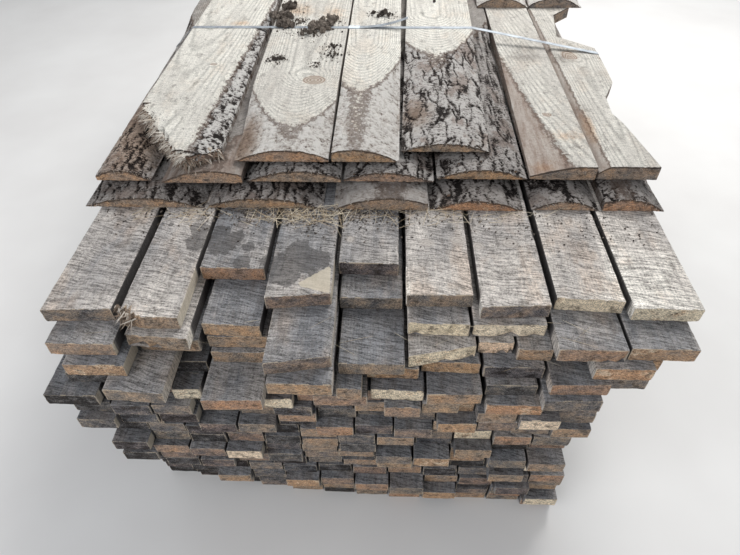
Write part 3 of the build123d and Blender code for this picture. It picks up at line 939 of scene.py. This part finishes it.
def strew(name, things, shape, tree, settings):
    # things: the place, size and turn of each, and its shade from 0 to 1
    mesh = bpy.data.meshes.new(name + "_points")
    mesh.from_pydata([thing[0] for thing in things], [], [])
    for key, column in (("size", 1), ("turn", 2)):
        layer = mesh.attributes.new(key, "FLOAT_VECTOR", "POINT")
        layer.data.foreach_set("vector", [value for thing in things for value in thing[column]])
    shade = mesh.attributes.new("shade", "FLOAT", "POINT")
    shade.data.foreach_set("value", [thing[3] for thing in things])
    holder = show(name + "_points", mesh)
    modifier = holder.modifiers.new("strew", "NODES")
    modifier.node_group = tree
    identifiers = {item.name: item.identifier for item in tree.interface.items_tree if item.in_out == "INPUT"}
    for key, value in {"Shape": shape, **settings}.items():
        modifier[identifiers[key]] = value
    graph = bpy.context.evaluated_depsgraph_get()
    result = bpy.data.meshes.new_from_object(holder.evaluated_get(graph), depsgraph=graph)
    holder.modifiers.clear()
    bpy.data.objects.remove(holder)
    result.name = name
    item = show(name, result)
    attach(item, "root")


def seedShape(name, build):
    work = bmesh.new()
    build(work)
    bmesh.ops.recalc_face_normals(work, faces=work.faces)
    mesh = bpy.data.meshes.new(name)
    work.to_mesh(mesh)
    work.free()
    return bpy.data.objects.new(name, mesh)


def lumpShape(fineness, size, waves):
    def build(work):
        bmesh.ops.create_icosphere(work, subdivisions=fineness, radius=1)
        for vert in work.verts:
            vert.co *= size + sum(height * noise.noise(vert.co * pitch) for height, pitch in waves)
    return build


def stalkShape(work):
    # a bent stalk of triangular section, one long, with closed ends
    loops = []
    for k in range(6):
        u = k / 5 - 0.5
        bend = 0.17 * (0.25 - u * u) * 4 + 0.05 * math.sin(7 * u)
        thin = 0.5 - 0.35 * abs(u)
        loops.append([work.verts.new((u, bend + thin * math.cos(c), 0.25 * bend + thin * math.sin(c)))
                      for c in (0.5, 2.6, 4.7)])
    for first, second in zip(loops, loops[1:]):
        for k in range(3):
            work.faces.new((first[k], first[(k + 1) % 3], second[(k + 1) % 3], second[k]))
    work.faces.new(loops[0])
    work.faces.new(loops[-1])


def splinterShape(work):
    # a flat sliver that runs to a point
    root, tip = ([work.verts.new(co) for co in corners] for corners in (
        ((0, -0.5, -0.5), (0, 0.5, -0.5), (0, 0.5, 0.5), (0, -0.5, 0.5)),
        ((0.6, -0.3, -0.3), (0.6, 0.25, -0.3), (0.6, 0.2, 0.3), (0.6, -0.3, 0.3))))
    point = work.verts.new((1, -0.1, 0))
    for k in range(4):
        work.faces.new((root[k], root[(k + 1) % 4], tip[(k + 1) % 4], tip[k]))
        work.faces.new((tip[k], tip[(k + 1) % 4], point))
    work.faces.new(root)


lumpTree = strewTree("strewn lumps", soil, True)
rng = random.Random(11)


def turned():
    return tuple(rng.uniform(0, 6.3) for axis in range(3))


def thing(x, y, z, sizes, turn, shade):
    # from mm to m
    return (x * mm, y * mm, z * mm), tuple(size * mm for size in sizes), turn, clamped(shade)


dirtLook = {
    # heaps on the top slabs: x, y, spread in mm, number and size of lumps in mm, shade
    "heaps": [(-215, -40, 44, 34, 23, 0.62), (-250, -100, 30, 12, 14, 0.5), (-190, 20, 30, 16, 19, 0.65),
              (-336, -20, 34, 18, 19, 0.5), (-362, 60, 40, 18, 24, 0.5), (-300, 10, 26, 10, 9, 0.55),
              (-345, 150, 34, 14, 20, 0.42), (6, 74, 30, 14, 14, 0.1), (-30, 90, 16, 5, 9, 0.12),
              (-159, -200, 20, 9, 8, 0.25), (-150, -262, 26, 10, 8, 0.22), (-336, -298, 18, 7, 9, 0.15),
              (-318, -292, 12, 4, 8, 0.15), (-205, -330, 10, 3, 5, 0.2), (186, 213, 12, 4, 9, 0.15)],
    "ceiling": 866, "lumps": {"Roughness": 0.011, "Lump size": 170.0, "Seed": 3},
    # crumbs round the heaps, on the two slabs that carry them, and along the foot of the slabs
    "crumbs": 640, "crumbed": [(-400, -130), (-110, 70)], "rowCrumbs": 1100, "footLine": -905,
    "footReach": (-690, 680), "crumbLumps": {"Roughness": 0.001, "Lump size": 400.0, "Seed": 4},
}

lumps = []
for x, y, spread, count, size, shade in dirtLook["heaps"]:
    for k in range(count):
        away = spread * rng.random() ** 0.7
        angle = rng.uniform(0, 2 * math.pi)
        inner = 1 - away / (spread * 1.05)
        big = size * rng.uniform(0.45, 1) * (0.55 + 0.45 * inner)
        z = slabTop + big * 0.45 + inner * size * 0.9 * rng.random()
        lumps.append(thing(x + away * math.cos(angle), y + away * math.sin(angle),
                           min(z, dirtLook["ceiling"] - 1.25 * big),
                           (big, big * rng.uniform(0.7, 1), big * rng.uniform(0.6, 0.9)), turned(),
                           shade + rng.uniform(-0.15, 0.2)))
clod = seedShape("clod", lumpShape(3, 0.78, [(0.42, 1.7), (0.34, 4.3)]))
strew("soil_heaps", lumps, clod, lumpTree, dirtLook["lumps"])



def crumbOn(surface, x, y, big, darkest):
    return thing(x, y, surface + big * 0.3, (big, big, big * 0.7), turned(), rng.uniform(darkest, 0.7))


crumbs = []
for k in range(dirtLook["crumbs"]):
    x, y, spread = rng.choice(dirtLook["heaps"])[:3]
    away, angle = spread * (0.9 + 1.3 * rng.random()), rng.uniform(0, 2 * math.pi)
    big = rng.uniform(0.8, 3) if k % 9 else rng.uniform(3, 5.5)
    x, y = x + away * math.cos(angle), y + away * math.sin(angle)
    if any(left < x < right for left, right in dirtLook["crumbed"]):
        crumbs.append(crumbOn(slabTop, x, y, big, 0.1))
for k in range(dirtLook["rowCrumbs"]):
    scattered = k % 3 == 0
    x = rng.uniform(*dirtLook["footReach"]) if scattered else rng.gauss(-170, 150)
    y = dirtLook["footLine"] - abs(rng.gauss(0, 70 if scattered else 28))
    big = rng.uniform(0.8, 3.4)
    crumbs.append(crumbOn(boardTop, x, y, big, 0))
crumb = seedShape("crumb", lumpShape(1, 0.8, [(0.5, 2.3)]))
strew("soil_crumbs", crumbs, crumb, lumpTree, dirtLook["crumbLumps"])

fibreLook = {
    # torn fibres at the ends of the ragged slab and, last, of the broken board: from point to point in
    # mm, with their number, height, shade and width
    # the lower lines get dark shades: painted shade under the upper fibres of the torn end
    "lines": [
        ((-665, -532), (-587, -650), 260, 832, 0.6, 1), ((-587, -650), (-481, -781), 420, 830, 0.65, 1),
        ((-587, -650), (-481, -781), 220, 815, 0.1, 1), ((-481, -781), (-404, -723), 150, 818, 0.35, 1),
        ((-481, -781), (-404, -723), 100, 806, 0.05, 1), ((-500, -765), (-420, -735), 26, 826, 0.6, 2.8),
        ((-650, -560), (-500, -765), 40, 831, 0.7, 2.2), ((-549, -1176), (-500, -1206), 90, 719, 0.4, 1)],
    "longest": 42, "thickness": 3.2, "fringePitch": 4, "fringeShade": 0.25,
    "strew": {"Roughness": 0.0, "Lump size": 1.0, "Seed": 6},
}
fibres = []
for (x0, y0), (x1, y1), count, height, shade, wider in fibreLook["lines"]:
    for k in range(count):
        share = rng.random()
        long = fibreLook["longest"] * rng.uniform(0.25, 1) ** 1.5
        thick = fibreLook["thickness"] * wider * rng.uniform(0.4, 1.3)
        heading = math.atan2(y1 - y0, x1 - x0) - math.pi / 2 + rng.gauss(0, 0.45)
        droop = rng.uniform(0.1, 1.35)
        inside = rng.uniform(2, 10)
        fibres.append(thing(x0 + (x1 - x0) * share - middle[0] - inside * math.cos(heading),
                            y0 + (y1 - y0) * share - middle[1] - inside * math.sin(heading),
                            height - rng.uniform(0, 12), (long, thick, 0.5 * thick / wider),
                            (0, droop, heading), rng.gauss(shade, 0.2)))
# short dark fibres along the upper edges of the slabs' near ends
for node, slabs in slabRows.items():
    for slab in slabs:
        if slab["nearEnd"]:
            continue
        depth = heartDepth(slab)
        for k in range(int((slab["right"] - slab["left"]) / fibreLook["fringePitch"])):
            x = rng.uniform(slab["left"] + 3, slab["right"] - 3)
            top = math.sqrt((depth + slab["crown"]) ** 2 - (x - slab["centre"]) ** 2) - depth
            long, thick = rng.uniform(3, 12), rng.uniform(0.6, 1.7)
            y = frontLine + slab["setback"] - middle[1] + rng.uniform(1.5, 4)
            z = rowLooks[node]["bottom"] + max(2, min(top, slabLook["thickness"]) - rng.uniform(1, 5))
            fibres.append(thing(x - middle[0], y, z, (long, thick, 0.6 * thick),
                                (0, rng.uniform(-0.3, 1.3), -math.pi / 2 + rng.gauss(0, 0.7)),
                                rng.gauss(fibreLook["fringeShade"], 0.25)))
splinter = seedShape("splinter", splinterShape)
sliverTree = strewTree("strewn slivers", tornFibre, False)
strew("torn_fibres", fibres, splinter, sliverTree, fibreLook["strew"])

strawLook = {
    # tufts at the foot of the slabs: x in mm and number of stalks; and stalks fallen onto lower layers
    "tufts": [(-441, 30), (-267, 44), (-193, 84), (-104, 60), (30, 26), (132, 24), (256, 16), (-563, 16),
              (400, 8)],
    "footLine": -925, "longest": 80, "thickness": 1.2, "fallen": 70,
    "ledges": ["board_layer_18", "board_layer_17", "board_layer_16", "board_layer_15", "board_layer_14",
               "stud_layer_10"],
    "strew": {"Roughness": 0.0, "Lump size": 1.0, "Seed": 5},
}
stalks = []
for tuft, count in strawLook["tufts"]:
    for k in range(count):
        long = rng.uniform(18, strawLook["longest"])
        thick = strawLook["thickness"] * rng.uniform(0.5, 1.2)
        x, y = tuft + rng.gauss(0, 46), strawLook["footLine"] + rng.gauss(0, 20)
        heading = rng.gauss(0, 1.1)
        lift = rng.uniform(0, 0.16)
        z = boardTop + thick * 0.6 + 0.5 * long * math.sin(lift) + rng.random() * 3
        stalks.append(thing(x, y, z, (long, thick, thick), (0, -lift, heading), rng.uniform(0.2, 1)))
for k in range(strawLook["fallen"]):
    node = rng.choice(strawLook["ledges"])
    low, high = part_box(node)
    x = rng.uniform(-600, 500)
    long, thick = rng.uniform(20, 80), strawLook["thickness"] * rng.uniform(0.4, 0.8)
    stalks.append(thing(x, low.y / mm + rng.uniform(65, 125), high.z / mm + thick, (long, thick, thick),
                        (0, rng.uniform(-0.05, 0.05), rng.uniform(-0.8, 0.8)), rng.uniform(0.3, 1)))
stalk = seedShape("stalk", stalkShape)
stalkTree = strewTree("strewn stalks", dryStraw, False)
strew("straw", stalks, stalk, stalkTree, strawLook["strew"])
print("soil and straw strewn")


# floor, light and camera

roomLook = {
    "floorHalf": 9, "lit": ((0.93, 0.96, 1, 1), 0.5), "shown": ((0.95, 0.95, 0.95, 1), 0.95),
    "lamps": [("key", (1.6, 2.2, 4.2), (0, -0.4, 0.6), 2.6, 230, (1, 0.985, 0.96)),
              ("fill", (-2.4, -3.4, 2.6), (0, -0.6, 0.4), 3, 70, (0.98, 0.98, 1))],
}


def makeRoom():
    mesh = bpy.data.meshes.new("floor")
    half = roomLook["floorHalf"]
    corners = [(-half, -half, 0), (half, -half, 0), (half, half, 0), (-half, half, 0)]
    mesh.from_pydata(corners, [], [(0, 1, 2, 3)])
    mesh.materials.append(makeFloor())
    floor = show("floor", mesh)
    world = bpy.data.worlds.new("studio")
    bpy.context.scene.world = world
    world.use_nodes = True
    tree = world.node_tree
    tree.nodes.clear()
    # the pale background shows to the camera, in reflections and through glass
    rays = addNode(tree, "ShaderNodeLightPath").outputs
    seen = rays["Is Camera Ray"]
    for ray in ("Is Glossy Ray", "Is Transmission Ray"):
        seen = addNode(tree, "ShaderNodeMath", {0: seen, 1: rays[ray]}, operation="MAXIMUM").outputs[0]
    lit, shown = (addNode(tree, "ShaderNodeBackground", {"Color": colour, "Strength": strength}).outputs[0]
                  for colour, strength in (roomLook["lit"], roomLook["shown"]))
    both = addNode(tree, "ShaderNodeMixShader", {0: seen, 1: lit, 2: shown}).outputs[0]
    addNode(tree, "ShaderNodeOutputWorld", {0: both})
    for name, place, aim, size, power, colour in roomLook["lamps"]:
        lamp = bpy.data.lights.new(name, "AREA")
        lamp.size = size
        lamp.energy = power
        lamp.color = colour
        item = show(name, lamp)
        item.location = place
        item.rotation_euler = (Vector(aim) - Vector(place)).to_track_quat("-Z", "Y").to_euler()


makeRoom()

cameraLook = {"place": (0.027, -2.0035, 1.584), "down": 45, "left": 2.4, "roll": -0.8, "focal": 27.05,
              "sensor": 36, "clip": 0.05}
cameraData = bpy.data.cameras.new("camera")
cameraData.sensor_width = cameraLook["sensor"]
cameraData.lens = cameraLook["focal"]
cameraData.clip_start = cameraLook["clip"]
camera = show("camera", cameraData)
aim = Matrix.Rotation(math.radians(cameraLook["left"]), 4, "Z")
aim = aim @ Matrix.Rotation(math.radians(90 - cameraLook["down"]), 4, "X")
aim = aim @ Matrix.Rotation(math.radians(cameraLook["roll"]), 4, "Z")
camera.matrix_world = Matrix.Translation(cameraLook["place"]) @ aim
bpy.context.scene.camera = camera
bpy.context.scene.view_settings.view_transform = "Standard"

print("room and camera made")
